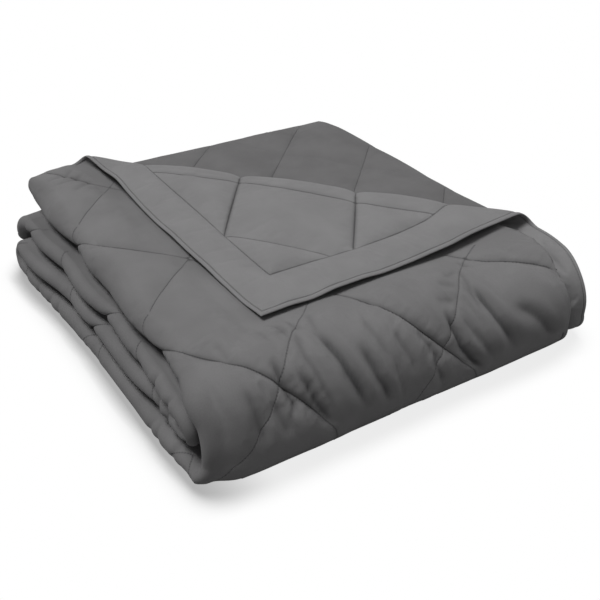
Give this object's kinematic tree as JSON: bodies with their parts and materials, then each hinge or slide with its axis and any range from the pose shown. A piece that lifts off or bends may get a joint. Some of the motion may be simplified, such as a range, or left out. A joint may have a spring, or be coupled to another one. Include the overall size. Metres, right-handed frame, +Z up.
{
  "type": "folded quilted blanket",
  "caption": "Plain grey down alternative blanket, diamond quilted with a flat border, folded into a nearly square stack with the free corner of its top layer turned back.",
  "frame": {"origin": "centre of the footprint, on the surface the stack lies on", "axes": "+X to the right along the smooth front fold, +Y from that fold to the back, +Z up"},
  "size_m": [0.5684, 0.6134, 0.138],
  "materials": {
    "quilted_cloth": "smooth brushed microfibre with a faint sheen"
  },
  "bodies": {
    "root": {"quilted_blanket": "quilted_cloth"}
  },
  "joints": []
}
